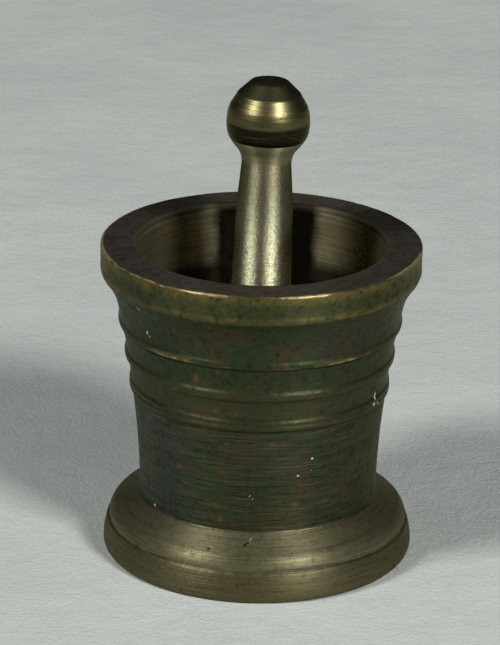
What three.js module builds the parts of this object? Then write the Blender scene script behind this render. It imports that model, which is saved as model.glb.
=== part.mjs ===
// A small turned brass mortar with its pestle standing in the bowl.
// Millimetres, +Z up. The origin is the centre of the mortar's flat base.
// Both pieces are solids of revolution, each turned from one bar of brass.
// Outlines are drawn in the plane of the axis: x is the radius and y is the height.

import * as THREE from "three";

// ---------- driving dimensions ----------

const rimRadius = 22.5;            // outside of the rim band, the widest point
const mortarHeight = 45.5;         // base to the flat top of the rim
const mouthRadius = 17.4;          // inner edge of the rim, below its chamfer
const mouthChamfer = 0.3;          // worn edge where the rim top meets the bowl

const footRadius = 22.0;           // widest point of the foot
const footBandTop = 2.4;           // top of the upright foot band
const footBevelTop = 4.3;          // top of the bevel above the foot band
const footBeadRadius = 21.25;      // bead that carries the sloping top of the foot
const footBeadTop = 6.6;           // where the bead rolls over into the slope
const waistRadius = 16.8;          // body where it meets the foot
const waistHeight = 8.8;           // height of that crevice

const rimBandBottom = 41.66;       // lower corner of the upright rim band
const dishSphereRadius = 28;       // the bowl's floor is part of a sphere
const dishCentreHeight = 38;       // height of that sphere's centre on the axis
const dishEdgeRadius = 8.6;        // where the floor turns up into the wall

// Three raised rings climb the body. Each has a crisp shoulder and flows down into a cove.
// The lowest one is split into two beads by a fine groove.
const rings = [
  { bottom: 24.3, top: 25.9, inner: 17.97, outer: 18.42, groove: 0.12 },
  { bottom: 29.0, top: 30.4, inner: 18.66, outer: 19.06, groove: 0 },
  { bottom: 33.7, top: 35.1, inner: 19.5, outer: 19.98, groove: 0 },
];

const pestleLength = 58.48;        // along its own axis
const pestleLeanDegrees = 1.45;    // leans towards +X as it stands on the dished floor
const pestleFaceRadius = 4.0;      // flat grinding face at the bottom
const pestleHeadRadius = 6.5;      // rounded grinding head
const pestleNeckRadius = 3.45;     // thinnest point, just under the knob
const pestleKnobRadius = 5.83;     // widest point of the knob
const seatingGap = 0.3;            // clearance between the grinding face and the floor

const mortarSegments = 64;
const pestleSegments = 40;
const curveSteps = 4;              // straight steps in each curved stretch of an outline

// ---------- shared helpers ----------

const brass = (name, color, roughness) =>
  new THREE.MeshStandardMaterial({ name, color, roughness, metalness: 1 });

// Revolve a closed outline about the axis and stand it up along +Z.
function turned(outline, segments) {
  const geometry = new THREE.LatheGeometry(outline.getPoints(curveSteps), segments);
  geometry.rotateX(Math.PI / 2);
  return geometry;
}

// ---------- mortar ----------

// Foot: rounded lower edge, upright band, bevel, bead, then a dished slope up to the waist.
function drawFoot(outline) {
  outline.moveTo(0, 0);
  outline.lineTo(footRadius - 0.9, 0);
  outline.quadraticCurveTo(footRadius, 0.1, footRadius, 1.1);
  outline.lineTo(footRadius - 0.05, footBandTop);
  outline.lineTo(footBeadRadius + 0.15, footBevelTop - 0.1);
  outline.lineTo(footBeadRadius, footBevelTop + 0.3);
  outline.quadraticCurveTo(footBeadRadius + 0.05, footBeadTop - 0.6, footBeadRadius - 0.9, footBeadTop);
  outline.quadraticCurveTo(waistRadius + 1.5, waistHeight - 0.9, waistRadius, waistHeight);
}

// Body: tapers outwards and carries the three rings, each with a cove above it.
function drawBody(outline) {
  outline.quadraticCurveTo(waistRadius + 0.1, 16, rings[0].inner, rings[0].bottom - 0.2);
  rings.forEach((ring, index) => {
    const shoulder = ring.outer - 0.25;
    const middleHeight = (ring.bottom + ring.top) / 2;
    outline.lineTo(ring.outer - 0.1, ring.bottom);
    if (ring.groove) outline.lineTo(ring.outer, middleHeight - 0.35);
    outline.lineTo(ring.outer - ring.groove, middleHeight);
    if (ring.groove) outline.lineTo(ring.outer, middleHeight + 0.35);
    outline.lineTo(shoulder, ring.top);
    const next = rings[index + 1];
    if (next) {
      const middle = (ring.top + next.bottom) / 2;
      outline.quadraticCurveTo(shoulder + 0.12, middle, next.inner, next.bottom - 0.15);
    }
  });
}

// Rim: a deep cove flares out to the upright band, then the flat top and the mouth's chamfer.
function drawRim(outline) {
  const flareFoot = rings[2].outer - 0.2;
  outline.quadraticCurveTo(flareFoot + 0.35, 38.6, rimRadius - 0.25, rimBandBottom - 0.45);
  outline.lineTo(rimRadius, rimBandBottom);
  outline.lineTo(rimRadius, mortarHeight - 0.2);
  outline.lineTo(rimRadius - 0.2, mortarHeight);
  outline.lineTo(mouthRadius + mouthChamfer, mortarHeight);
  outline.lineTo(mouthRadius, mortarHeight - mouthChamfer);
}

// Bowl: the wall narrows downwards and turns into the spherical floor.
function drawBowl(outline) {
  const floorHeight = (radius) =>
    dishCentreHeight - Math.sqrt(dishSphereRadius ** 2 - radius ** 2);
  const wallEnd = { radius: 14.6, height: 20 };
  outline.quadraticCurveTo(16.6, 33, wallEnd.radius, wallEnd.height);
  outline.quadraticCurveTo(12.9, 13.2, dishEdgeRadius, floorHeight(dishEdgeRadius));
  const steps = 4;
  for (let step = steps - 1; step >= 0; step -= 1) {
    const radius = (dishEdgeRadius * step) / steps;
    outline.lineTo(radius, floorHeight(radius));
  }
}

function makeMortar() {
  const outline = new THREE.Path();
  drawFoot(outline);
  drawBody(outline);
  drawRim(outline);
  drawBowl(outline);
  const mortar = new THREE.Mesh(
    turned(outline, mortarSegments),
    brass("darkened_brass", 0x5f5634, 0.38),
  );
  mortar.name = "mortar_body";
  return mortar;
}

// ---------- pestle ----------

// Grinding head: flat face, rounded edge and a long taper up to the shaft.
function drawHead(outline) {
  outline.moveTo(0, 0);
  outline.lineTo(pestleFaceRadius, 0);
  outline.quadraticCurveTo(pestleHeadRadius, 0.5, pestleHeadRadius, 4.2);
  outline.bezierCurveTo(pestleHeadRadius, 8.5, 4.8, 11, 4.6, 17.5);
}

// Shaft: narrows from the head to the neck, with one slightly fuller stretch.
function drawShaft(outline) {
  outline.lineTo(4.24, 27.1);
  outline.quadraticCurveTo(4.12, 33, 3.95, 37.4);
  outline.lineTo(3.93, 40.7);
  outline.lineTo(pestleNeckRadius, 46.6);
}

// Knob: a cove up from the neck, a full round girdle, two turned facets and a small flat top.
function drawKnob(outline) {
  outline.quadraticCurveTo(pestleNeckRadius, 47.6, 4.1, 48.65);
  outline.quadraticCurveTo(5.15, 49.85, 5.56, 50.8);
  outline.quadraticCurveTo(pestleKnobRadius + 0.13, 52.3, 5.64, 54.1);
  outline.lineTo(5.39, 54.88);
  outline.lineTo(4.36, 56.64);
  outline.lineTo(2.7, 58.28);
  outline.quadraticCurveTo(2.4, pestleLength - 0.03, 1.9, pestleLength);
  outline.lineTo(0, pestleLength);
}

// The flat face's edge rides on the spherical floor, so the pestle's axis always runs
// through the sphere's centre. Its lean alone then settles where it stands.
function makePestle() {
  const outline = new THREE.Path();
  drawHead(outline);
  drawShaft(outline);
  drawKnob(outline);
  const pestle = new THREE.Mesh(
    turned(outline, pestleSegments),
    brass("bright_brass", 0xa39b6c, 0.3),
  );
  pestle.name = "pestle";
  const faceDistance = Math.sqrt(dishSphereRadius ** 2 - pestleFaceRadius ** 2) - seatingGap;
  pestle.position.z = -faceDistance;

  const standing = new THREE.Group();
  standing.position.z = dishCentreHeight;
  standing.rotation.y = THREE.MathUtils.degToRad(pestleLeanDegrees);
  standing.add(pestle);
  return standing;
}

// ---------- assembly ----------

const pillCrusher = new THREE.Group();
pillCrusher.add(makeMortar());
pillCrusher.add(makePestle());

export default pillCrusher;
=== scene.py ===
import math

import bpy
import numpy as np
from mathutils import Matrix, Vector


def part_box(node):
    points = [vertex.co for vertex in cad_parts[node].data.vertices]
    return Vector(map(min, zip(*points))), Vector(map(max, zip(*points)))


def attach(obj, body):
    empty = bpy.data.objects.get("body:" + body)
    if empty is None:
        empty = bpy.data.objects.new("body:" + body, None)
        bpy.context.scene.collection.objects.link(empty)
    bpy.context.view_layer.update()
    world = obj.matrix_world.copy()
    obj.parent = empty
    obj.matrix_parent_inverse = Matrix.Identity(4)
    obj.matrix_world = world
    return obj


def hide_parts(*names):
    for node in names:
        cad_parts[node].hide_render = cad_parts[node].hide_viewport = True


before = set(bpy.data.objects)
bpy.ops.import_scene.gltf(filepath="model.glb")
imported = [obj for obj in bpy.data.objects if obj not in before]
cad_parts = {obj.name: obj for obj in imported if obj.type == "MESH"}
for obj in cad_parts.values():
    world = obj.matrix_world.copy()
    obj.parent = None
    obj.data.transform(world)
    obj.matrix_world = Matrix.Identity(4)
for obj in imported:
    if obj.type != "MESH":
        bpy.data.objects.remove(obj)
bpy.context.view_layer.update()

# A small turned brass mortar with its pestle, each a solid of revolution that carries its own
# worn edges, knocks, dents, pits and patina. Sizes are in millimetres. An outline lies in the
# plane of the axis: the first number of a point is its radius and the second is its height.

MM = 0.001
SEED = 41

# ---------- sizes, from the frame ----------

mortar_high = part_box("mortar_body")[1]
RIM_RADIUS = mortar_high[0] / MM           # the widest part of the mortar
MORTAR_HEIGHT = mortar_high[2] / MM

FOOT_RADIUS = RIM_RADIUS - 0.5
FOOT_GROOVE = 4.44                         # height of the fine groove under the foot's bead
WAIST_RADIUS = RIM_RADIUS - 5.7            # where the body meets the foot
WAIST_HEIGHT = 8.8
LOW_RING, MIDDLE_RING, TOP_RING = 24.3, 29.0, 33.7    # heights of the rings' lower edges
RIM_BAND_BOTTOM = 41.66
MOUTH_RADIUS = RIM_RADIUS - 5.1
DISH_SPHERE_RADIUS = 28.0                  # the bowl's floor is part of a sphere
DISH_CENTRE_HEIGHT = 38.0
DISH_EDGE_RADIUS = 8.6

PESTLE_LENGTH = 58.48
PESTLE_LEAN = math.radians(1.45)           # towards +X
PESTLE_FACE_RADIUS = 4.0                   # flat grinding face
PESTLE_HEAD_RADIUS = 6.5
PESTLE_NECK_RADIUS = 3.45
PESTLE_KNOB_RADIUS = 5.83
KNOB_START = 50.4                          # above this height the knob's smoother finish takes over
SEATING_GAP = 0.3                          # between the grinding face and the bowl's floor


# ---------- outlines ----------

class Outline:
    """A path of straight and curved stretches, sampled finely as it is drawn."""

    def __init__(self, radius, height):
        self.points = [(radius, height)]

    def line(self, radius, height):
        self.points.append((radius, height))
        return self

    def bend(self, control_radius, control_height, radius, height, steps):
        """A curve that heads for its control point first and then for its end."""
        control, end = np.array([(control_radius, control_height), (radius, height)])
        start = np.array(self.points[-1])
        for t in np.linspace(0, 1, steps + 1)[1:]:
            self.points.append(tuple((1 - t) ** 2 * start + 2 * t * (1 - t) * control + t * t * end))
        return self


def even_points(points, step):
    """The same path with points an even step apart."""
    points = np.array(points, float)
    lengths = np.hypot(*np.diff(points, axis=0).T)
    along = np.concatenate([[0], np.cumsum(lengths)])
    wanted = np.linspace(0, along[-1], max(2, int(round(along[-1] / step)) + 1))
    return np.stack([np.interp(wanted, along, points[:, k]) for k in (0, 1)], 1)


SOFTENING_STEP = 0.02


def softened(points, radius, step):
    """Rounds every corner of a path by about the given radius, then spaces its points evenly."""
    path = even_points(points, SOFTENING_STEP)
    reach = int(4 * radius / SOFTENING_STEP)
    kernel = np.exp(-0.5 * (np.arange(-reach, reach + 1) * SOFTENING_STEP / radius) ** 2)
    kernel /= kernel.sum()
    padded = np.pad(path, ((reach, reach), (0, 0)), mode="reflect", reflect_type="odd")
    smooth = np.stack([np.convolve(padded[:, k], kernel, "valid") for k in (0, 1)], 1)
    smooth[0], smooth[-1] = path[0], path[-1]
    return even_points(smooth, step)


def mortar_outside():
    """From the middle of the underside, up the outside, to the inner edge of the rim's flat top."""
    path = Outline(0, 0).line(FOOT_RADIUS - 0.8, 0)
    path.bend(FOOT_RADIUS - 0.05, 0.12, FOOT_RADIUS, 1.1, 10)
    path.bend(FOOT_RADIUS + 0.02, 2.6, FOOT_RADIUS - 0.55, 4.3, 14)
    path.line(FOOT_RADIUS - 0.86, FOOT_GROOVE).line(FOOT_RADIUS - 0.84, 4.8)
    path.bend(FOOT_RADIUS - 0.82, 5.75, FOOT_RADIUS - 1.75, 6.55, 18)
    path.bend(FOOT_RADIUS - 3.7, 7.72, WAIST_RADIUS + 0.05, WAIST_HEIGHT - 0.1, 24)
    path.line(WAIST_RADIUS, WAIST_HEIGHT)
    path.bend(WAIST_RADIUS + 0.12, 16.0, 17.97, LOW_RING - 0.1, 40)
    # low ring: two beads side by side
    path.line(18.28, LOW_RING).line(18.4, LOW_RING + 0.45)
    path.line(18.34, LOW_RING + 0.7).line(18.26, LOW_RING + 0.82).line(18.35, LOW_RING + 0.96)
    path.line(18.38, LOW_RING + 1.3).line(18.14, LOW_RING + 1.56)
    path.bend(18.26, 27.5, 18.66, MIDDLE_RING - 0.15, 16)
    # middle ring: one crisp bead
    path.line(18.94, MIDDLE_RING - 0.02).line(19.05, MIDDLE_RING + 0.5)
    path.line(19.06, MIDDLE_RING + 0.95).line(18.8, MIDDLE_RING + 1.28)
    path.bend(18.95, 32.0, 19.5, TOP_RING - 0.2, 16)
    # top ring: a bead above a cut groove
    path.line(19.42, TOP_RING - 0.08).line(19.46, TOP_RING + 0.06)
    path.line(19.82, TOP_RING + 0.2).line(19.95, TOP_RING + 0.7)
    path.line(19.96, TOP_RING + 1.04).line(19.81, TOP_RING + 1.23)
    path.bend(20.0, 38.6, RIM_RADIUS - 0.3, RIM_BAND_BOTTOM - 0.5, 36)
    path.line(RIM_RADIUS - 0.02, RIM_BAND_BOTTOM + 0.1)
    path.bend(RIM_RADIUS - 0.04, 43.6, RIM_RADIUS - 0.01, MORTAR_HEIGHT - 0.16, 10)
    path.line(RIM_RADIUS - 0.16, MORTAR_HEIGHT - 0.01)
    path.line(MOUTH_RADIUS + 0.32, MORTAR_HEIGHT - 0.01)
    return path.points


def dish_height(radius):
    return DISH_CENTRE_HEIGHT - math.sqrt(DISH_SPHERE_RADIUS ** 2 - radius ** 2)


def mortar_inside():
    """From the inner edge of the rim's flat top, down the wall, to the middle of the bowl's floor."""
    path = Outline(MOUTH_RADIUS + 0.32, MORTAR_HEIGHT - 0.01)
    path.line(MOUTH_RADIUS + 0.02, MORTAR_HEIGHT - 0.3)
    path.bend(16.6, 33, 14.6, 20, 40)
    path.bend(12.9, 13.2, DISH_EDGE_RADIUS, dish_height(DISH_EDGE_RADIUS), 24)
    for radius in np.linspace(DISH_EDGE_RADIUS, 0, 20)[1:]:
        path.line(radius, dish_height(radius))
    return path.points


def pestle_outline():
    """From the middle of the grinding face, up the shaft, to the middle of the knob's flat top."""
    path = Outline(0, 0).line(PESTLE_FACE_RADIUS, 0)
    path.bend(PESTLE_HEAD_RADIUS, 0.5, PESTLE_HEAD_RADIUS, 4.2, 20)
    path.bend(PESTLE_HEAD_RADIUS - 0.05, 8.4, 5.3, 11.4, 20).bend(4.65, 13.4, 4.5, 19, 20)
    path.line(4.2, 27.1).bend(4.1, 33.0, 3.95, 37.4, 14)
    path.line(3.93, 40.7).line(PESTLE_NECK_RADIUS, 46.6)
    # knob: a cove, a round girdle, two turned facets and a flat top
    path.bend(PESTLE_NECK_RADIUS, 47.7, 4.1, 48.7, 12)
    path.bend(5.15, 49.85, 5.56, 50.8, 14)
    path.bend(PESTLE_KNOB_RADIUS + 0.13, 52.3, 5.64, 54.1, 20).line(5.39, 54.88)
    path.line(4.36, 56.64).line(2.66, 58.32)
    path.bend(2.35, PESTLE_LENGTH, 1.7, PESTLE_LENGTH, 8)
    path.line(0, PESTLE_LENGTH)
    return path.points


# ---------- surface detail worked into the meshes ----------

def smoothstep(low, high, value):
    t = np.clip((value - low) / (high - low), 0, 1)
    return t * t * (3 - 2 * t)


class Turned:
    """A solid of revolution on a grid: rows run along the outline and columns round the axis.
    Azimuth 0 faces -Y, and azimuths grow towards +X."""

    def __init__(self, rows, columns, seed, outside_rows=None):
        self.radius, self.height = rows[:, 0], rows[:, 1]
        self.columns = columns
        self.outside_rows = outside_rows or len(rows)
        self.rng = np.random.default_rng(seed)
        steps = np.hypot(np.gradient(self.radius), np.gradient(self.height))
        self.arc = np.concatenate([[0], np.cumsum(np.hypot(np.diff(self.radius), np.diff(self.height)))])
        slope = np.unwrap(np.arctan2(np.gradient(self.height), np.gradient(self.radius)))
        self.normal = np.stack([np.sin(slope), -np.cos(slope)], 1)
        self.bend = np.gradient(slope) / steps
        self.azimuth = np.linspace(-np.pi, np.pi, columns, endpoint=False)
        self.push = np.zeros((len(rows), columns))
        self.masks = {}

    def noise(self, row_mm, column_mm):
        """Smooth random numbers from about -1 to 1, seamless round the axis, with features of about
        the given size along the outline and round the axis."""
        rows, columns = self.push.shape
        row_reach = row_mm / (self.arc[-1] / rows)
        column_reach = column_mm / (2 * np.pi * self.radius.max() / columns)
        across = np.fft.fftfreq(rows)[:, None] * row_reach
        around = np.fft.fftfreq(columns)[None, :] * column_reach
        keep = np.exp(-2 * np.pi ** 2 * (across ** 2 + around ** 2))
        smooth = np.fft.ifft2(np.fft.fft2(self.rng.standard_normal((rows, columns))) * keep).real
        return smooth / smooth.std() * 0.5

    def arc_at(self, height):
        """How far along the outline the outside wall reaches a height."""
        return np.interp(height, self.height[:self.outside_rows], self.arc[:self.outside_rows])

    def spot(self, azimuth_degrees, arc, wide, tall, tilt=0.0):
        """The part of the grid round one place, and values there that fall from 1 at the place to 0,
        over the given half sizes in millimetres."""
        reach = 2.6 * max(wide, tall)
        rows = np.flatnonzero(np.abs(self.arc - arc) < reach)
        radius = max(self.radius[np.abs(self.arc - arc).argmin()], 0.3)
        turn = (self.azimuth - math.radians(azimuth_degrees) + np.pi) % (2 * np.pi) - np.pi
        columns = np.flatnonzero(np.abs(turn) * radius < reach)
        across, up = turn[columns][None, :] * radius, (self.arc[rows] - arc)[:, None]
        along = up * math.cos(tilt) - across * math.sin(tilt)
        over = across * math.cos(tilt) + up * math.sin(tilt)
        return np.ix_(rows, columns), np.exp(-((over / wide) ** 2 + (along / tall) ** 2))

    def dint(self, mask, strength, depth, *place):
        """Presses a spot into the surface by depth millimetres, and marks it on a mask."""
        where, soft = self.spot(*place)
        self.push[where] -= depth * soft
        if mask is not None:
            mask[where] = np.maximum(mask[where], strength * soft)

    def build(self, name, place=None):
        """The mesh object. The outline's two ends, on the axis, become single points."""
        radius = self.radius[1:-1, None] + self.push[1:-1] * self.normal[1:-1, :1]
        height = self.height[1:-1, None] + self.push[1:-1] * self.normal[1:-1, 1:]
        grid = np.stack([radius * np.sin(self.azimuth), -radius * np.cos(self.azimuth), height], -1)
        ends = [[0, 0, self.height[0]], [0, 0, self.height[-1]]]
        points = np.vstack([grid.reshape(-1, 3), ends]) * MM
        rows, columns = radius.shape
        first, last = rows * columns, rows * columns + 1
        here = np.arange(rows * columns).reshape(rows, columns)
        there = np.roll(here, -1, axis=1)
        quads = np.stack([here[:-1], there[:-1], there[1:], here[1:]], -1).reshape(-1, 4)
        low_fan = np.stack([np.full(columns, first), there[0], here[0]], -1)
        high_fan = np.stack([np.full(columns, last), here[-1], there[-1]], -1)
        corners = np.concatenate([quads.ravel(), low_fan.ravel(), high_fan.ravel()])
        sizes = np.concatenate([np.full(len(quads), 4), np.full(2 * columns, 3)])

        mesh = bpy.data.meshes.new(name)
        mesh.vertices.add(len(points))
        mesh.vertices.foreach_set("co", points.astype(np.float32).ravel())
        mesh.loops.add(len(corners))
        mesh.loops.foreach_set("vertex_index", corners.astype(np.int32))
        mesh.polygons.add(len(sizes))
        mesh.polygons.foreach_set("loop_start", (np.cumsum(sizes) - sizes).astype(np.int32))
        mesh.update(calc_edges=True)
        mesh.shade_smooth()
        self.write_coordinates(mesh, corners, sizes)
        if place is not None:
            mesh.transform(place)
        piece = bpy.data.objects.new(name, mesh)
        bpy.context.scene.collection.objects.link(piece)
        return piece

    def finish_from(self, piece, arc):
        """Gives the faces past a place along the outline the piece's second material."""
        past = (self.arc[1:-2] + self.arc[2:-1]) / 2 > arc
        ends = np.zeros(self.columns, np.int32)
        index = np.concatenate([np.repeat(past.astype(np.int32), self.columns), ends, ends + 1])
        piece.data.polygons.foreach_set("material_index", index)

    def write_coordinates(self, mesh, corners, sizes):
        """Stores where each point is on the turned surface, and every mask, as attributes, with a UV
        map that runs round the axis and along the outline."""
        def spread(values):
            values = np.broadcast_to(values, self.push.shape)
            ends = [values[0].mean(), values[-1].mean()]
            return np.concatenate([values[1:-1].ravel(), ends]).astype(np.float32)

        around = spread(np.cos(self.azimuth)), spread(np.sin(self.azimuth))
        turn = np.stack([*around, spread(self.arc[:, None])], -1)
        mesh.attributes.new("turn", "FLOAT_VECTOR", "POINT").data.foreach_set("vector", turn.ravel())
        for mask, values in self.masks.items():
            mesh.attributes.new(mask, "FLOAT", "POINT").data.foreach_set("value", spread(values))

        on_grid = corners < (len(self.arc) - 2) * self.columns
        u = np.where(on_grid, corners % self.columns, 0) / self.columns
        face = np.repeat(np.arange(len(sizes)), sizes)
        highest = np.zeros(len(sizes))
        np.maximum.at(highest, face, u)
        u = np.where((highest[face] > 0.75) & (u < 0.25), u + 1, u)
        uv = np.stack([u, turn[corners, 2] / self.arc[-1]], -1)
        mesh.uv_layers.new(name="turned").data.foreach_set("uv", uv.astype(np.float32).ravel())


def edge_masks(piece, round_noise):
    """Where the outline turns outwards, as hands and tables wear it, and inwards, as dirt gathers."""
    blur = np.exp(-0.5 * (np.arange(-5, 6) / 1.8) ** 2)
    blur /= blur.sum()
    convex = np.convolve(np.clip(piece.bend, 0, 4), blur, "same")[:, None]
    hollow = np.convolve(np.clip(-piece.bend, 0, 4), blur, "same")[:, None]
    uneven = 1 + round_noise
    return smoothstep(0.5, 2.2, convex * uneven), smoothstep(0.5, 2.4, hollow * uneven)


def knock_edge(piece, mask, arc, count, depth, wide):
    """Small knocks strung round one edge."""
    tall = 0.16
    for _ in range(count):
        deep, azimuth = piece.rng.uniform(0.2, 1) ** 2, piece.rng.uniform(-180, 180)
        at = arc + piece.rng.uniform(-0.08, 0.08)
        piece.dint(mask, deep, deep * depth, azimuth, at, wide * piece.rng.uniform(0.3, 1.3), tall)


# ---------- mortar ----------

# rust: azimuth in degrees, height, half width, half height, strength
RUST_SPOTS = (
    (6.7, 22.2, 0.6, 0.5, 1.0), (-14.2, 22.0, 0.45, 0.45, 0.7), (-39.6, 17.0, 0.55, 0.45, 1.0),
    (-48.3, 12.4, 0.7, 0.6, 0.7), (-17.7, 10.25, 0.5, 0.5, 1.0), (17.9, 12.75, 0.7, 0.5, 0.9),
    (-19, 27.0, 0.7, 0.7, 0.8), (-10, 26.8, 0.5, 0.4, 0.8), (-27, 31.6, 0.7, 1.2, 0.8),
    (-23, 31.2, 0.5, 0.6, 0.6), (-17, 33.2, 0.55, 1.0, 0.7), (-35, 38.5, 0.8, 0.6, 0.6),
    (-2, 16.4, 0.6, 0.4, 0.5), (-29, 29.0, 1.0, 0.4, 0.6), (23, 24.9, 1.4, 0.5, 0.55),
)
# larger pits: azimuth in degrees, height, half size
DARK_PITS = (
    (2.9, 40.1, 0.3), (-16, 38.4, 0.22), (10.7, 37.7, 0.3), (-20.8, 36.5, 0.22), (-35.8, 38.6, 0.3),
    (6.7, 36.3, 0.35), (-42.5, 35.3, 0.25), (-15.8, 35.5, 0.25), (-19.5, 6.9, 0.3), (-3, 31.6, 0.2),
    (-5.0, 7.55, 0.45), (-3.8, 7.75, 0.35),
    (12, 31.0, 0.22), (-33, 28.2, 0.2), (30, 21.0, 0.2), (-8, 14.9, 0.25), (36, 12.0, 0.25),
)
# specks and scratches: azimuth in degrees, height, half width, half height, strength, tilt in radians
PALE_MARKS = (
    (-50.8, 40.3, 0.16, 0.6, 1.0, 0.3), (-50.8, 36.5, 0.3, 0.5, 0.75, 0.4), (-49.5, 36.0, 0.3, 0.2, 0.7, 0.9),
    (18.75, 17.1, 0.22, 0.18, 1.0, 0.0), (25.4, 19.5, 0.2, 0.18, 1.0, 0.0),
    (25.2, 17.75, 0.16, 0.14, 0.7, 0.0), (-3.6, 14.2, 0.4, 0.12, 0.7, 0.8), (-2.4, 13.8, 0.35, 0.12, 0.6, 0.7),
    (62.5, 26.0, 0.2, 0.8, 1.0, -0.3), (61.0, 25.0, 0.5, 0.2, 0.9, 0.3), (64.5, 24.8, 0.2, 0.6, 0.8, 0.1),
    (60.5, 24.2, 0.25, 0.2, 0.9, 0.0), (-2.6, 8.1, 0.09, 0.55, 0.9, -0.7), (-4.6, 7.15, 0.4, 0.08, 0.6, 0.0),
    (-19.5, 2.7, 0.07, 1.1, 0.7, -0.5), (-24, 2.3, 1.0, 0.07, 0.6, 0.2),
    (-59, 9.05, 0.3, 0.22, 1.0, 0.0), (55.5, 8.95, 0.3, 0.14, 0.5, 0.0),
)
RING_EDGES = (34.7, 29.95, 25.65, 24.98)    # heights of the edges that stand out and catch knocks
FOOT_SHOULDER = 4.3                         # height of the edge above the foot band
BASE_EDGE = 0.4
MORTAR_COLUMNS = 640
MORTAR_STEP = 0.15                          # spacing of points along the outside
BOWL_STEP = 0.32                            # and along the bowl
MORTAR_DENTS, MORTAR_PITS, FAR_RUST_SPOTS = 70, 520, 40
SWIRL_AZIMUTH, SWIRL_HEIGHT = 25, 20.2      # a scoured swirl on the right of the body


def wear_mortar(mortar, outer):
    """Knocks along the edges, dents in the walls, and the waviness of hand turning."""
    rng, outside_end = mortar.rng, mortar.outside_rows
    mortar.push += 0.020 * mortar.noise(3, 6) * outer + 0.005 * mortar.noise(0.5, 4)
    bruises = np.zeros_like(mortar.push)
    rim_edge = mortar.arc[outside_end - 1] - (RIM_RADIUS - MOUTH_RADIUS) + 0.35
    knock_edge(mortar, bruises, rim_edge, 80, 0.07, 0.6)
    knock_edge(mortar, bruises, mortar.arc[outside_end], 50, 0.04, 0.5)
    knock_edge(mortar, bruises, mortar.arc_at(RIM_BAND_BOTTOM), 60, 0.06, 0.7)
    for ring in RING_EDGES:
        knock_edge(mortar, bruises, mortar.arc_at(ring), 46, 0.05, 0.5)
    knock_edge(mortar, bruises, mortar.arc_at(FOOT_SHOULDER), 60, 0.07, 0.6)
    knock_edge(mortar, bruises, mortar.arc_at(BASE_EDGE), 150, 0.10, 0.5)
    for _ in range(MORTAR_DENTS):
        wide, tall = rng.uniform(0.3, 1.3), rng.uniform(0.25, 0.8)
        depth, azimuth = 0.03 * rng.uniform(0.3, 1), rng.uniform(-180, 180)
        mortar.dint(None, 0, depth, azimuth, mortar.arc_at(rng.uniform(1, 44)), wide, tall)
    return bruises


def corrode_mortar(mortar):
    """Small pits everywhere, larger ones and rust where the metal shows them, and pale scars."""
    rng, masks = mortar.rng, mortar.masks
    pits, rust, marks = (np.zeros_like(mortar.push) for _ in range(3))
    for _ in range(MORTAR_PITS):
        size, strength = 0.14 + 0.22 * rng.random() ** 3, rng.uniform(0.3, 0.9)
        azimuth, at = rng.uniform(-180, 180), mortar.arc_at(rng.uniform(9.5, 45))
        mortar.dint(pits, strength, 0.02, azimuth, at, size, size)
    for azimuth, height, size in DARK_PITS:
        mortar.dint(pits, 1.0, 0.05, azimuth, mortar.arc_at(height), size, size)
    for azimuth, height, wide, tall, strength in RUST_SPOTS:
        mortar.dint(rust, strength, 0.006, azimuth, mortar.arc_at(height), wide, tall)
    for _ in range(FAR_RUST_SPOTS):
        strength, azimuth = rng.uniform(0.4, 0.9), rng.uniform(70, 290)
        at, wide, tall = mortar.arc_at(rng.uniform(9.5, 40)), rng.uniform(0.4, 0.8), rng.uniform(0.3, 0.8)
        mortar.dint(rust, strength, 0.006, azimuth, at, wide, tall)
    for azimuth, height, wide, tall, strength, tilt in PALE_MARKS:
        mortar.dint(marks, strength, 0.05, azimuth, mortar.arc_at(height), wide, tall, tilt)

    swirl_arc = mortar.arc_at(SWIRL_HEIGHT)
    for radius in (0.7, 1.3, 2.0):
        for turn in np.radians(np.arange(200, 430, 9)):
            azimuth = SWIRL_AZIMUTH + math.degrees(radius * math.cos(turn) / WAIST_RADIUS)
            at = swirl_arc + radius * 0.8 * math.sin(turn)
            mortar.dint(marks, 0.34 * rng.random(), 0.008, azimuth, at, 0.16, 0.14)
    masks["pits"], masks["rust"], masks["marks"] = pits, rust, marks


def keep_in_size(mortar):
    """Nothing reaches past the rim's radius, its flat top or the base."""
    flat = (mortar.height > MORTAR_HEIGHT - 0.05) | (mortar.height < 0.05)
    mortar.push[flat] = np.clip(mortar.push[flat], -0.08, 0)
    mortar.push[mortar.height < 0.005] = 0
    near_rim = mortar.radius > RIM_RADIUS - 0.6
    room = (RIM_RADIUS - 0.004 - mortar.radius)[near_rim, None]
    mortar.push[near_rim] = np.minimum(mortar.push[near_rim], room)


def shape_mortar():
    outside = softened(mortar_outside(), 0.075, MORTAR_STEP)
    inside = softened(mortar_inside(), 0.1, BOWL_STEP)
    mortar = Turned(np.vstack([outside, inside[1:]]), MORTAR_COLUMNS, SEED, len(outside))
    masks, height = mortar.masks, mortar.height[:, None]
    on_outside = (np.arange(len(mortar.arc)) < len(outside))[:, None] * 1.0
    masks["height"] = height
    masks["rim_top"] = smoothstep(MORTAR_HEIGHT - 0.12, MORTAR_HEIGHT - 0.03, height) * on_outside
    patchy, fine = mortar.noise(0.8, 2.6), mortar.noise(0.2, 0.5)
    edge, masks["grime"] = edge_masks(mortar, 0.5 * patchy + 0.3 * fine)
    edge = edge * np.where(mortar.radius < MOUTH_RADIUS + 1, 0.45, 1)[:, None]
    bruises = wear_mortar(mortar, on_outside * smoothstep(0.02, 0.4, height))
    masks["edge"] = np.clip(edge + 0.6 * bruises, 0, 1)
    corrode_mortar(mortar)
    keep_in_size(mortar)
    piece = mortar.build("mortar_turned")
    piece.data.materials.append(darkened_brass())
    piece.data.materials.append(bowl_brass())
    mortar.finish_from(piece, mortar.arc[len(outside) - 2])
    return piece


# ---------- pestle ----------

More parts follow.
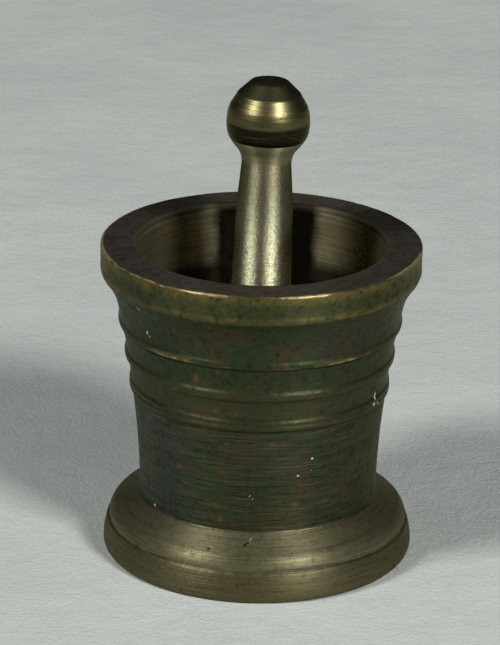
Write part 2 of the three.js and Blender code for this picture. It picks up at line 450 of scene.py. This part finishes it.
PESTLE_COLUMNS = 320
PESTLE_STEP = 0.13
PESTLE_PITS = 180


def shape_pestle():
    pestle = Turned(softened(pestle_outline(), 0.07, PESTLE_STEP), PESTLE_COLUMNS, SEED + 1)
    rng, masks = pestle.rng, pestle.masks
    masks["height"] = pestle.height[:, None]
    masks["edge"], masks["grime"] = edge_masks(pestle, 0.6 * pestle.noise(0.5, 1))
    pestle.push += 0.010 * pestle.noise(2, 3) + 0.003 * pestle.noise(0.25, 1.5)
    pits = np.zeros_like(pestle.push)
    for _ in range(PESTLE_PITS):
        size, strength = 0.10 + 0.16 * rng.random() ** 2, rng.uniform(0.3, 1)
        azimuth, at = rng.uniform(-180, 180), pestle.arc_at(rng.uniform(1, 58))
        pestle.dint(pits, strength, 0.012, azimuth, at, size, size)
    masks["pits"] = pits
    pestle.push[(pestle.height > PESTLE_LENGTH - 0.02) | (pestle.height < 0.02)] = 0

    reach = math.sqrt(DISH_SPHERE_RADIUS ** 2 - PESTLE_FACE_RADIUS ** 2) - SEATING_GAP
    place = (Matrix.Translation((0, 0, DISH_CENTRE_HEIGHT * MM))
             @ Matrix.Rotation(PESTLE_LEAN, 4, "Y")
             @ Matrix.Translation((0, 0, -reach * MM)))
    piece = pestle.build("pestle_turned", place)
    piece.data.materials.append(shaft_brass())
    piece.data.materials.append(knob_brass())
    pestle.finish_from(piece, pestle.arc_at(KNOB_START))
    return piece


# ---------- materials ----------

class Shader:
    """A material's node tree, with short calls for the nodes that the finishes share."""

    def __init__(self, name):
        self.material = bpy.data.materials.new(name)
        self.material.use_nodes = True
        self.tree = self.material.node_tree
        self.tree.nodes.clear()

    def add(self, kind, inputs=None, **settings):
        node = self.tree.nodes.new(kind)
        for key, value in settings.items():
            setattr(node, key, value)
        for key, value in (inputs or {}).items():
            self.feed(node.inputs[key], value)
        return node

    def feed(self, socket, value):
        if isinstance(value, bpy.types.NodeSocket):
            self.tree.links.new(value, socket)
        elif socket.type == "RGBA" and len(value) == 3:
            socket.default_value = (*value, 1)
        else:
            socket.default_value = value

    def mask(self, name):
        return self.add("ShaderNodeAttribute", attribute_name=name).outputs["Fac"]

    def turn(self, around, along):
        """Coordinates on the turned surface: a noise on them has features 1/around radians long round
        the axis and 1/along millimetres tall along the outline."""
        place = self.add("ShaderNodeAttribute", attribute_name="turn").outputs["Vector"]
        inputs = {0: place, 1: (around, around, along)}
        return self.add("ShaderNodeVectorMath", inputs, operation="MULTIPLY").outputs["Vector"]

    def sideways(self):
        """The sine of the azimuth: -1 on the left of the piece, 1 on the right."""
        place = self.add("ShaderNodeAttribute", attribute_name="turn").outputs["Vector"]
        return self.add("ShaderNodeSeparateXYZ", {"Vector": place}).outputs["Y"]

    def solid(self, scale_mm, tilt=(0, 0, 0)):
        """Coordinates in the metal itself, in features per millimetre along each axis, after a turn."""
        place = self.add("ShaderNodeTexCoord").outputs["Object"]
        inputs = {"Vector": place, "Rotation": tilt, "Scale": tuple(s / MM for s in scale_mm)}
        return self.add("ShaderNodeMapping", inputs, vector_type="POINT").outputs["Vector"]

    def noise(self, vector, scale, detail, roughness, distortion=0.0):
        inputs = {"Vector": vector, "Scale": scale, "Detail": detail, "Roughness": roughness}
        return self.add("ShaderNodeTexNoise", {**inputs, "Distortion": distortion}).outputs["Fac"]

    def math(self, operation, first, second=0.0, clamp=False):
        node = self.add("ShaderNodeMath", {0: first, 1: second}, operation=operation, use_clamp=clamp)
        return node.outputs[0]

    def times(self, *values):
        result = values[0]
        for value in values[1:]:
            result = self.math("MULTIPLY", result, value)
        return result

    def plus(self, *values):
        result = values[0]
        for value in values[1:]:
            result = self.math("ADD", result, value)
        return result

    def ramp(self, value, low, high, bottom=0.0, top=1.0):
        """value from low to high becomes bottom to top, with soft ends."""
        inputs = {"Value": value, "From Min": low, "From Max": high, "To Min": bottom, "To Max": top}
        return self.add("ShaderNodeMapRange", inputs, interpolation_type="SMOOTHSTEP").outputs["Result"]

    def between(self, value, low, high, blur):
        """1 where value lies from low to high, with soft ends."""
        above = self.ramp(value, low - blur, low + blur)
        below = self.ramp(value, high - blur, high + blur, 1, 0)
        return self.times(above, below)

    def mix(self, factor, first, second):
        """The first colour where the factor is 0 and the second where it is 1."""
        node = self.add("ShaderNodeMix", data_type="RGBA")
        for key, value in (("Factor_Float", factor), ("A_Color", first), ("B_Color", second)):
            self.feed(next(s for s in node.inputs if s.identifier == key), value)
        return next(s for s in node.outputs if s.identifier == "Result_Color")

    def metal(self, color, roughness, metallic, height_mm, anisotropic, edge_tint):
        """Ends the tree in a metal whose highlights stretch across its turning marks."""
        bump = self.add("ShaderNodeBump", {"Strength": 1.0, "Distance": MM, "Height": height_mm})
        tangent = self.add("ShaderNodeTangent", direction_type="UV_MAP", uv_map="turned")
        surface = self.add("ShaderNodeBsdfPrincipled", {
            "Base Color": color, "Roughness": roughness, "Metallic": metallic,
            "Normal": bump.outputs["Normal"], "Tangent": tangent.outputs["Tangent"],
            "Anisotropic": anisotropic, "Anisotropic Rotation": 0.25,
            "Specular IOR Level": 0.3, "Specular Tint": edge_tint,
        })
        self.add("ShaderNodeOutputMaterial", {"Surface": surface.outputs["BSDF"]})
        return self.material


BRASS = (0.60, 0.50, 0.27)
BROWN_METAL = (0.22, 0.18, 0.085)
RUBBED_METAL = (0.165, 0.128, 0.050)
OLIVE_METAL = (0.172, 0.132, 0.040)
FOOT_BAND_METAL = (0.135, 0.118, 0.060)
FOOT_SLOPE_METAL = (0.205, 0.188, 0.105)
GREEN_FILM = (0.032, 0.051, 0.021)
BROWN_FILM = (0.060, 0.047, 0.024)
TAN_FILM = (0.088, 0.070, 0.032)
OLIVE_FILM = (0.066, 0.060, 0.026)
PURPLE_FILM = (0.052, 0.041, 0.034)
BLUE_FILM = (0.046, 0.062, 0.064)
RIM_TOP_BROWN = (0.052, 0.042, 0.037)
RIM_TOP_OLIVE = (0.034, 0.032, 0.020)
DARK = (0.012, 0.011, 0.008)
RUST = (0.125, 0.052, 0.018)
PALE = (0.62, 0.63, 0.56)


def darkened_brass():
    """The outside of the mortar: turned metal under a thin film of green, brown, purple and blue."""
    s = Shader("darkened_brass")
    place = s.turn(22.5, 1.0)
    coarse_lines = s.noise(s.turn(1.1, 2.2), 1.0, 2.0, 0.6)
    lines = s.noise(s.turn(1.7, 8.5), 1.0, 2.0, 0.7)
    fine_lines = s.noise(s.turn(4.0, 15.0), 1.0, 2.0, 0.6)
    patches = s.noise(place, 0.16, 4.0, 0.6, 0.6)
    tint = s.noise(place, 0.06, 3.0, 0.5)
    mottle = s.noise(place, 0.9, 4.0, 0.65)
    speckle = s.noise(place, 4.5, 3.0, 0.6)
    scratches = s.ramp(s.noise(s.solid((0.25, 0.25, 7.0), (0.5, 0.9, 0.3)), 1.0, 1.0, 0.5), 0.72, 0.80)

    edge, grime, rust = s.mask("edge"), s.mask("grime"), s.mask("rust")
    height, rim_top = s.mask("height"), s.mask("rim_top")
    foot = s.ramp(height, WAIST_HEIGHT - 0.15, WAIST_HEIGHT + 0.05, 1, 0)
    body = s.between(height, WAIST_HEIGHT, LOW_RING - 0.3, 0.1)
    ring_zone = s.between(height, LOW_RING - 0.3, MIDDLE_RING + 1.6, 0.3)
    top_cove = s.between(height, TOP_RING + 1.3, RIM_BAND_BOTTOM - 0.66, 0.5)
    rim_band = s.between(height, RIM_BAND_BOTTOM - 0.3, MORTAR_HEIGHT, 0.15)
    sideways = s.sideways()

    # the film: green, brown and blue, of uneven thickness
    blotches = s.noise(place, 0.42, 5.0, 0.7, 0.8)
    film = s.mix(s.ramp(patches, 0.48, 0.64), GREEN_FILM, BROWN_FILM)
    film = s.mix(s.ramp(blotches, 0.52, 0.66, 0.0, 0.7), film, BROWN_FILM)
    film = s.mix(s.ramp(blotches, 0.36, 0.48, 0.7, 0.0), film, GREEN_FILM)
    film = s.mix(s.ramp(mottle, 0.30, 0.44, 0.55, 0.0), film, TAN_FILM)
    bluish = s.plus(s.times(s.ramp(sideways, -0.35, -0.80), 0.9), s.ramp(tint, 0.52, 0.62, 0.0, 0.3))
    bluish = s.times(bluish, s.plus(0.25, s.times(body, 0.65)), s.ramp(mottle, 0.3, 0.6, 0.5, 1.0))
    film = s.mix(bluish, film, BLUE_FILM)
    film = s.mix(s.ramp(tint, 0.34, 0.44, 0.5, 0.0), film, PURPLE_FILM)
    plum = s.times(top_cove, s.ramp(sideways, 0.22, 0.5), s.ramp(blotches, 0.3, 0.5, 0.4, 1.0))
    film = s.mix(s.times(plum, 0.55), film, PURPLE_FILM)
    film = s.mix(s.times(ring_zone, s.ramp(mottle, 0.35, 0.65, 0.2, 0.75)), film, OLIVE_FILM)
    band_top = s.ramp(height, 43.6, 45.0)
    band_low = s.between(height, 41.35, 42.3, 0.25)
    yellowed = s.times(rim_band, s.plus(s.times(band_top, 0.75), s.times(band_low, 0.55), 0.25))
    film = s.mix(s.times(yellowed, s.ramp(blotches, 0.36, 0.58, 1.0, 0.4)), film, OLIVE_METAL)
    film = s.mix(rim_top, film, s.mix(s.ramp(blotches, 0.4, 0.6), RIM_TOP_BROWN, RIM_TOP_OLIVE))
    foot_metal = s.mix(s.ramp(height, 3.9, 4.7), FOOT_BAND_METAL, FOOT_SLOPE_METAL)
    film = s.mix(s.times(foot, s.ramp(mottle, 0.25, 0.55, 0.75, 1.0)), film, foot_metal)
    cleaner_foot = s.math("SUBTRACT", 1.0, s.times(foot, 0.5))
    color = s.mix(s.times(s.ramp(mottle, 0.52, 0.68, 0.0, 0.55), cleaner_foot), film, DARK)
    color = s.mix(s.ramp(speckle, 0.52, 0.70, 0.0, 0.45), color, DARK)

    # turning marks: the valleys keep dirt and the crests are polished back to metal
    lined = s.plus(s.times(body, 0.9), s.times(ring_zone, 0.3), s.times(foot, 0.7))
    valleys = s.times(s.ramp(lines, 0.36, 0.48, 0.7, 0.0), lined)
    color = s.mix(valleys, color, DARK)
    streaks = s.noise(s.turn(1.6, 0.35), 1.0, 3.0, 0.6)
    where_polished = s.plus(0.15, s.times(s.ramp(streaks, 0.42, 0.60), 0.85))
    crests = s.times(s.ramp(lines, 0.54, 0.68), lined, where_polished)
    color = s.mix(s.times(crests, 0.42), color, BROWN_METAL)
    color = s.mix(s.times(s.ramp(fine_lines, 0.52, 0.66, 0.0, 0.3), lined), color, BROWN_METAL)
    color = s.mix(s.times(s.ramp(fine_lines, 0.34, 0.48, 0.5, 0.0), lined), color, DARK)
    color = s.mix(s.times(scratches, 0.35), color, BROWN_METAL)

    # edges: brown metal first, then brass where most worn
    rubbed = s.math("ADD", edge, s.times(s.plus(mottle, -0.5), 0.6), clamp=True)
    color = s.mix(s.ramp(rubbed, 0.30, 0.80, 0.0, 0.8), color, RUBBED_METAL)
    color = s.mix(s.ramp(rubbed, 0.80, 1.10, 0.0, 0.6), color, BRASS)

    # dirt, rust, pits and scars, with ragged outlines
    ragged, uneven = s.plus(speckle, -0.5), s.plus(mottle, -0.5)
    color = s.mix(s.times(grime, s.ramp(speckle, 0.25, 0.5, 0.5, 0.9)), color, DARK)
    spots = s.ramp(s.plus(rust, s.times(ragged, 1.1), s.times(uneven, 0.7)), 0.35, 0.85)
    color = s.mix(s.times(spots, 0.8), color, RUST)
    pits = s.ramp(s.plus(s.mask("pits"), s.times(ragged, 0.6)), 0.40, 0.8)
    color = s.mix(s.times(pits, 0.75), color, DARK)
    marks = s.ramp(s.plus(s.mask("marks"), s.times(ragged, 0.9)), 0.40, 0.66)
    color = s.mix(marks, color, PALE)

    bare = s.math("ADD", s.times(crests, 0.8), s.ramp(rubbed, 0.25, 0.8), clamp=True)
    metallic = s.plus(s.times(bare, 0.2), 0.68, s.times(foot, 0.12), s.times(rim_top, -0.46))
    metallic = s.math("SUBTRACT", metallic, s.plus(s.times(spots, 0.4), s.times(marks, 0.4)), clamp=True)
    roughness = s.plus(s.ramp(mottle, 0.3, 0.7, 0.44, 0.56), s.times(bare, -0.10), s.times(spots, 0.15),
                       s.times(rim_top, 0.05), s.times(ragged, 0.12))
    off_rim_top = s.math("SUBTRACT", 1.0, s.times(rim_top, 0.7))
    relief = s.plus(s.times(coarse_lines, off_rim_top, 0.026), s.times(lines, lined, 0.026),
                    s.times(fine_lines, off_rim_top, 0.009), s.times(mottle, 0.012), s.times(speckle, 0.008),
                    s.times(pits, -0.02), s.times(scratches, -0.01))
    return s.metal(color, roughness, metallic, relief, 0.7, (0.8, 0.78, 0.62))


def bowl_brass():
    """The bowl: smoother metal with fine rings, painted shade low down and in bands at the front and back,
    painted light on the sides that is lightest beside those bands, and a duller lip."""
    s = Shader("bowl_brass")
    place = s.turn(17.0, 1.0)
    lines = s.noise(s.turn(1.0, 6.0), 1.0, 3.0, 0.65)
    mottle = s.noise(place, 0.5, 4.0, 0.6)
    height, sideways = s.mask("height"), s.sideways()
    # 0 in the middle of the front and back bands of painted shade, and 1 at the sides
    beside = s.plus(s.math("ABSOLUTE", s.plus(sideways, -0.035)), s.times(s.plus(mottle, -0.5), 0.05))
    # painted shade: the wall turns almost black in the front and back bands and low down in the bowl
    clear_of_painted_shade = s.times(s.ramp(beside, 0.37, 0.47), s.ramp(height, 35.8, 38.2, 0.12, 1.0))
    # painted light: the sides of the wall are lightest next to the dark bands and fade towards the far sides
    painted_light_beside_bands = s.ramp(beside, 0.45, 1.05, 0.85, 0.35)
    lip = s.ramp(height, 44.3, 44.9)
    color = s.mix(painted_light_beside_bands, (0.27, 0.225, 0.125), (0.80, 0.72, 0.44))
    color = s.mix(s.ramp(lines, 0.36, 0.60, 0.45, 0.0), color, (0.16, 0.13, 0.07))
    color = s.mix(s.ramp(mottle, 0.5, 0.75, 0.0, 0.3), color, (0.14, 0.11, 0.06))
    color = s.mix(s.times(lip, 0.9), color, (0.052, 0.045, 0.024))
    # the painted shade laid over the wall's colour
    color = s.mix(clear_of_painted_shade, (0.026, 0.022, 0.013), color)
    roughness = s.plus(s.ramp(mottle, 0.3, 0.7, 0.24, 0.32), s.times(lip, 0.34))
    metallic = s.plus(0.93, s.times(clear_of_painted_shade, -0.04), s.times(lip, clear_of_painted_shade, -0.35))
    relief = s.plus(s.times(lines, 0.006), s.times(mottle, 0.002))
    return s.metal(color, roughness, metallic, relief, 0.5, (0.9, 0.9, 0.8))


def shaft_brass():
    """Bright metal with a fine sparkle of short dashes, duller towards the neck and on the worked head."""
    s = Shader("shaft_brass")
    place = s.turn(5.0, 1.0)
    lines = s.noise(s.turn(1.6, 4.5), 1.0, 3.0, 0.65)
    dashes = s.noise(s.turn(6.0, 7.0), 1.0, 2.0, 0.6)
    sparkle = s.noise(s.turn(16.0, 4.0), 1.0, 2.0, 0.6)
    grain = s.noise(place, 3.4, 4.0, 0.7)
    patches = s.noise(place, 0.35, 4.0, 0.6, 0.4)
    height = s.mask("height")
    worked = s.ramp(height, 10, 22, 1, 0)
    dull = s.ramp(height, 34, 44)
    fillet = s.ramp(height, 46.8, 47.8)

    color = s.mix(s.ramp(patches, 0.35, 0.7), (1.0, 0.98, 0.66), (0.86, 0.83, 0.52))
    color = s.mix(s.times(dull, 0.75), color, (0.22, 0.195, 0.10))
    # painted reflection: the fillet's duller, less metallic tone stands in for the shiny shaft mirrored in it
    color = s.mix(s.times(fillet, 0.8), color, (0.26, 0.23, 0.13))
    color = s.mix(s.ramp(lines, 0.34, 0.46, 0.35, 0.0), color, (0.15, 0.13, 0.07))
    color = s.mix(s.ramp(sparkle, 0.36, 0.52, 0.55, 0.0), color, (0.24, 0.21, 0.12))
    color = s.mix(s.ramp(grain, 0.54, 0.68, 0.0, 0.6), color, (0.16, 0.14, 0.08))
    color = s.mix(s.times(worked, 0.4), color, (0.20, 0.18, 0.11))
    color = s.mix(s.times(s.mask("pits"), 0.6), color, DARK)
    roughness = s.ramp(grain, 0.3, 0.7, 0.50, 0.60)
    metallic = s.plus(1.0, s.times(fillet, -0.3))
    relief = s.plus(s.times(lines, 0.030), s.times(dashes, 0.050), s.times(sparkle, 0.036),
                    s.times(grain, 0.024))
    return s.metal(color, roughness, metallic, relief, 0.95, (0.3, 0.3, 0.2))


def knob_brass():
    """Browner, smoother metal, with a dull crown and a painted dark reflection in a band under the girdle."""
    s = Shader("knob_brass")
    place = s.turn(5.0, 1.0)
    lines = s.noise(s.turn(1.2, 6.0), 1.0, 3.0, 0.65)
    grain = s.noise(place, 3.4, 4.0, 0.7)
    height, edge = s.mask("height"), s.mask("edge")
    crown = s.ramp(height, 56.55, 56.75)
    # painted reflection: a near-black band under the girdle stands for the dark mortar mirrored in it
    under = s.between(height, KNOB_START - 0.2, 52.9, 0.25)
    low = s.ramp(height, 54.6, 53.4)

    color = s.mix(s.ramp(lines, 0.38, 0.62), (0.150, 0.135, 0.062), (0.215, 0.190, 0.092))
    color = s.mix(s.times(crown, 0.95), color, (0.040, 0.039, 0.021))
    color = s.mix(s.times(low, 0.45), color, (0.060, 0.050, 0.020))
    color = s.mix(s.times(under, 0.93), color, (0.012, 0.010, 0.006))
    color = s.mix(s.ramp(lines, 0.34, 0.46, 0.75, 0.0), color, (0.08, 0.07, 0.035))
    color = s.mix(s.ramp(grain, 0.56, 0.72, 0.0, 0.5), color, (0.12, 0.10, 0.055))
    color = s.mix(s.ramp(edge, 0.3, 1.0, 0.0, 0.4), color, (0.30, 0.26, 0.13))
    color = s.mix(s.times(s.mask("pits"), 0.6), color, DARK)
    roughness = s.plus(s.ramp(grain, 0.3, 0.7, 0.35, 0.42), s.times(crown, 0.20))
    relief = s.plus(s.times(lines, 0.008), s.times(grain, 0.002))
    return s.metal(color, roughness, 1.0, relief, 0.2, (0.8, 0.8, 0.6))


def pale_cloth():
    """A fine weave, a little clouded and wrinkled."""
    s = Shader("pale_cloth")
    weave = s.noise(s.solid((1.5, 1.5, 1.5)), 1.0, 4.0, 0.7)
    cloud = s.noise(s.solid((0.02, 0.02, 0.02)), 1.0, 4.0, 0.6)
    color = s.mix(s.ramp(cloud, 0.3, 0.7), (0.585, 0.625, 0.590), (0.655, 0.695, 0.655))
    color = s.mix(s.ramp(weave, 0.35, 0.65, 0.0, 0.16), color, (0.42, 0.44, 0.41))
    wrinkles = s.noise(s.solid((0.12, 0.12, 0.12)), 1.0, 3.0, 0.6)
    fold = s.plus(s.times(weave, 0.24), s.times(wrinkles, 0.45))
    bump = s.add("ShaderNodeBump", {"Strength": 1.0, "Distance": MM, "Height": fold})
    surface = s.add("ShaderNodeBsdfPrincipled", {
        "Base Color": color, "Roughness": 0.9, "Specular IOR Level": 0.15, "Normal": bump.outputs["Normal"],
    })
    s.add("ShaderNodeOutputMaterial", {"Surface": surface.outputs["BSDF"]})
    return s.material


# ---------- studio, in metres and degrees ----------

FLOOR_REACH = 2.5
SOFTBOX_DISTANCE = 2.2
SOFTBOX_SIDE = 0.48
CAMERA_PLACE = (0, -0.4875, 0.2169)
CAMERA_PITCH, CAMERA_YAW, CAMERA_ROLL = 20.62, -0.17, 0.90
CAMERA_LENS_MM = 206.7


def make_floor():
    reach = FLOOR_REACH
    mesh = bpy.data.meshes.new("floor")
    corners = [(-reach, -reach, 0), (reach, -reach, 0), (reach, reach, 0), (-reach, reach, 0)]
    mesh.from_pydata(corners, [], [(0, 1, 2, 3)])
    floor = bpy.data.objects.new("floor", mesh)
    bpy.context.scene.collection.objects.link(floor)
    mesh.materials.append(pale_cloth())


def softbox(name, azimuth_degrees, elevation_degrees, watts):
    """A soft panel that faces the object. Azimuth 0 is in front, and positive is to the right."""
    azimuth, elevation = math.radians(azimuth_degrees), math.radians(elevation_degrees)
    level = math.cos(elevation)
    away = Vector((math.sin(azimuth) * level, -math.cos(azimuth) * level, math.sin(elevation)))
    data = bpy.data.lights.new(name, "AREA")
    data.shape = "SQUARE"
    data.size = SOFTBOX_SIDE
    data.energy = watts
    light = bpy.data.objects.new(name, data)
    light.location = Vector((0, 0, 0.5 * MORTAR_HEIGHT * MM)) + away * SOFTBOX_DISTANCE
    light.rotation_euler = (-away).to_track_quat("-Z", "Y").to_euler()
    bpy.context.scene.collection.objects.link(light)


def make_lights():
    softbox("left_softbox", -57, 44, 26.0)
    softbox("right_softbox", 38.5, 36, 36.5)
    world = bpy.data.worlds.new("studio")
    world.use_nodes = True
    world.node_tree.nodes["Background"].inputs["Color"].default_value = (0.016, 0.016, 0.017, 1)
    bpy.context.scene.world = world
    bpy.context.scene.view_settings.view_transform = "Standard"


def make_camera():
    """A long lens that looks down on the mortar from the front, turned a little about its own axis."""
    pitch, yaw, roll = math.radians(CAMERA_PITCH), math.radians(CAMERA_YAW), math.radians(CAMERA_ROLL)
    forward = Vector((math.sin(yaw) * math.cos(pitch), math.cos(yaw) * math.cos(pitch), -math.sin(pitch)))
    level = Vector((math.cos(yaw), -math.sin(yaw), 0))
    upright = level.cross(forward)
    right = level * math.cos(roll) + upright * math.sin(roll)
    up = upright * math.cos(roll) - level * math.sin(roll)
    data = bpy.data.cameras.new("camera")
    data.sensor_width = 36.0
    data.lens = CAMERA_LENS_MM
    data.clip_start, data.clip_end = 0.01, 20
    camera = bpy.data.objects.new("camera", data)
    matrix = Matrix((right, up, -forward)).transposed().to_4x4()
    matrix.translation = Vector(CAMERA_PLACE)
    camera.matrix_world = matrix
    bpy.context.scene.collection.objects.link(camera)
    bpy.context.scene.camera = camera


# ---------- assembly ----------

make_camera()
make_floor()
make_lights()

mortar = shape_mortar()
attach(mortar, "mortar")
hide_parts("mortar_body")

pestle = shape_pestle()
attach(pestle, "pestle")
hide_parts("pestle")
